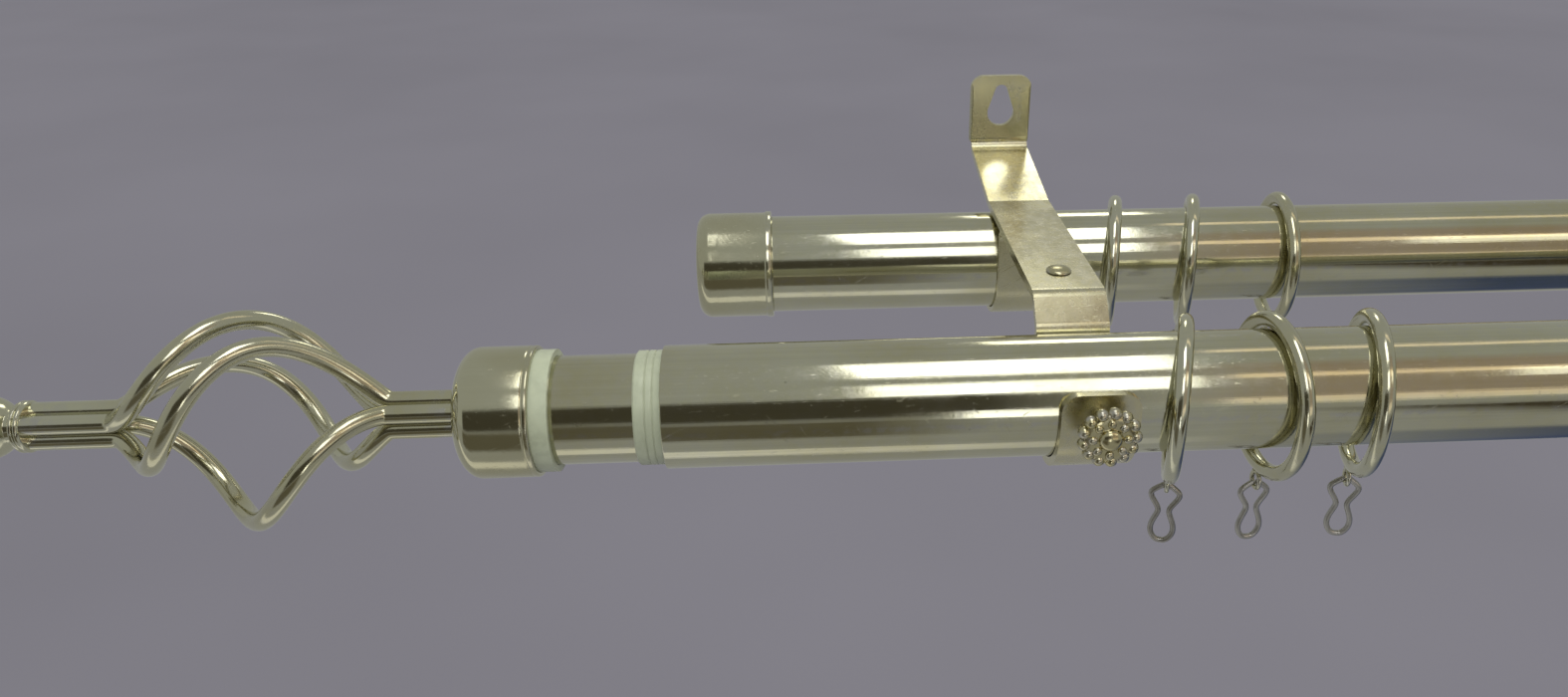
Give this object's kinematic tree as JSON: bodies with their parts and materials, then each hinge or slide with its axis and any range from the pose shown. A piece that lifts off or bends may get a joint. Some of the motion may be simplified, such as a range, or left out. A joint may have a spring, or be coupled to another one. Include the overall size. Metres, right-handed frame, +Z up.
{
  "type": "double curtain pole",
  "caption": "Telescopic double curtain pole on folded strap wall brackets, with basket finials, end caps, sliding rings and wire curtain hooks",
  "frame": {"origin": "screw seat of the left bracket's keyhole, on the wall face of its plate", "axes": "+X along the poles towards the right-hand end, +Y into the wall, +Z up"},
  "size_m": [0.953, 0.156, 0.088],
  "materials": {
    "polished_pole": "polished champagne plating on steel tube",
    "finial_metal": "polished champagne plating on steel rod",
    "pale_plastic": "pale translucent plastic",
    "bracket_metal": "yellowish plating on folded steel strap",
    "screw_metal": "cast brass",
    "ring_metal": "polished champagne plating on steel ring",
    "hook_wire": "dull plated wire"
  },
  "bodies": {
    "root": {"front_outer_tube": "polished_pole", "rear_outer_tube": "polished_pole", "front_guide_bush": "pale_plastic", "rear_guide_bush": "pale_plastic", "rear_cap_left": "polished_pole", "finial_plug_right": "pale_plastic", "finial_cup_right": "polished_pole", "finial_rod_right_1": "finial_metal", "finial_rod_right_2": "finial_metal", "finial_rod_right_3": "finial_metal", "finial_rod_right_4": "finial_metal", "finial_tip_right": "finial_metal", "wall_bracket_left": "bracket_metal", "rear_cradle_left": "bracket_metal", "cradle_rivet_left": "bracket_metal", "wall_bracket_right": "bracket_metal", "rear_cradle_right": "bracket_metal", "cradle_rivet_right": "bracket_metal"},
    "front_extension": {"front_inner_tube": "polished_pole", "finial_adapter_left": "pale_plastic", "finial_cup_left": "polished_pole", "finial_rod_left_1": "finial_metal", "finial_rod_left_2": "finial_metal", "finial_rod_left_3": "finial_metal", "finial_rod_left_4": "finial_metal", "finial_tip_left": "finial_metal"},
    "rear_extension": {"rear_inner_tube": "polished_pole", "rear_cap_sleeve": "pale_plastic", "rear_cap_right": "polished_pole"},
    "left_screw": {"thumbscrew_left": "screw_metal"},
    "right_screw": {"thumbscrew_right": "screw_metal"},
    "front_ring_1": {"front_ring_1": "ring_metal", "front_ring_eye_1": "ring_metal"},
    "front_hook_1": {"front_curtain_hook_1": "hook_wire"},
    "front_ring_2": {"front_ring_2": "ring_metal", "front_ring_eye_2": "ring_metal"},
    "front_hook_2": {"front_curtain_hook_2": "hook_wire"},
    "front_ring_3": {"front_ring_3": "ring_metal", "front_ring_eye_3": "ring_metal"},
    "front_hook_3": {"front_curtain_hook_3": "hook_wire"},
    "rear_ring_1": {"rear_ring_1": "ring_metal", "rear_ring_eye_1": "ring_metal"},
    "rear_hook_1": {"rear_curtain_hook_1": "hook_wire"},
    "rear_ring_2": {"rear_ring_2": "ring_metal", "rear_ring_eye_2": "ring_metal"},
    "rear_hook_2": {"rear_curtain_hook_2": "hook_wire"},
    "rear_ring_3": {"rear_ring_3": "ring_metal", "rear_ring_eye_3": "ring_metal"},
    "rear_hook_3": {"rear_curtain_hook_3": "hook_wire"}
  },
  "joints": [
    {"name": "front_extend", "type": "slide", "parent": "root", "child": "front_extension", "axis": [-1, 0, 0], "range_m": [-0.017, 0.45]},
    {"name": "rear_extend", "type": "slide", "parent": "root", "child": "rear_extension", "axis": [1, 0, 0], "range_m": [-0.017, 0.45]},
    {"name": "left_screw_turn", "type": "hinge", "parent": "root", "child": "left_screw", "pos_m": [0, -0.1463, -0.0395], "axis": [0, 1, 0], "range_deg": [0, 1080]},
    {"name": "right_screw_turn", "type": "hinge", "parent": "root", "child": "right_screw", "pos_m": [0.468, -0.1463, -0.0395], "axis": [0, 1, 0], "range_deg": [0, 1080]},
    {"name": "front_ring_1_slide", "type": "slide", "parent": "root", "child": "front_ring_1", "axis": [1, 0, 0], "range_m": [-0.005, 0.01]},
    {"name": "front_hook_1_swing", "type": "hinge", "parent": "front_ring_1", "child": "front_hook_1", "pos_m": [0.0223, -0.13, -0.0664], "axis": [0.9563, -0.2924, 0], "range_deg": [-60, 60]},
    {"name": "front_ring_2_slide", "type": "slide", "parent": "root", "child": "front_ring_2", "axis": [1, 0, 0], "range_m": [-0.01, 0.0125]},
    {"name": "front_hook_2_swing", "type": "hinge", "parent": "front_ring_2", "child": "front_hook_2", "pos_m": [0.0442, -0.13, -0.0664], "axis": [0.9976, 0.0698, 0], "range_deg": [-60, 60]},
    {"name": "front_ring_3_slide", "type": "slide", "parent": "root", "child": "front_ring_3", "axis": [1, 0, 0], "range_m": [-0.0125, 0.38]},
    {"name": "front_hook_3_swing", "type": "hinge", "parent": "front_ring_3", "child": "front_hook_3", "pos_m": [0.067, -0.13, -0.0664], "axis": [0.9781, -0.2079, 0], "range_deg": [-60, 60]},
    {"name": "rear_ring_1_slide", "type": "slide", "parent": "root", "child": "rear_ring_1", "axis": [1, 0, 0], "range_m": [-0.0115, 0.009]},
    {"name": "rear_hook_1_swing", "type": "hinge", "parent": "rear_ring_1", "child": "rear_hook_1", "pos_m": [0.0285, -0.042, -0.0664], "axis": [0.9703, -0.2419, 0], "range_deg": [-60, 60]},
    {"name": "rear_ring_2_slide", "type": "slide", "parent": "root", "child": "rear_ring_2", "axis": [1, 0, 0], "range_m": [-0.009, 0.0155]},
    {"name": "rear_hook_2_swing", "type": "hinge", "parent": "rear_ring_2", "child": "rear_hook_2", "pos_m": [0.0518, -0.042, -0.0664], "axis": [0.9613, -0.2756, 0], "range_deg": [-60, 60]},
    {"name": "rear_ring_3_slide", "type": "slide", "parent": "root", "child": "rear_ring_3", "axis": [1, 0, 0], "range_m": [-0.0155, 0.37]},
    {"name": "rear_hook_3_swing", "type": "hinge", "parent": "rear_ring_3", "child": "rear_hook_3", "pos_m": [0.0791, -0.042, -0.0664], "axis": [0.9962, -0.0872, 0], "range_deg": [-60, 60]}
  ]
}
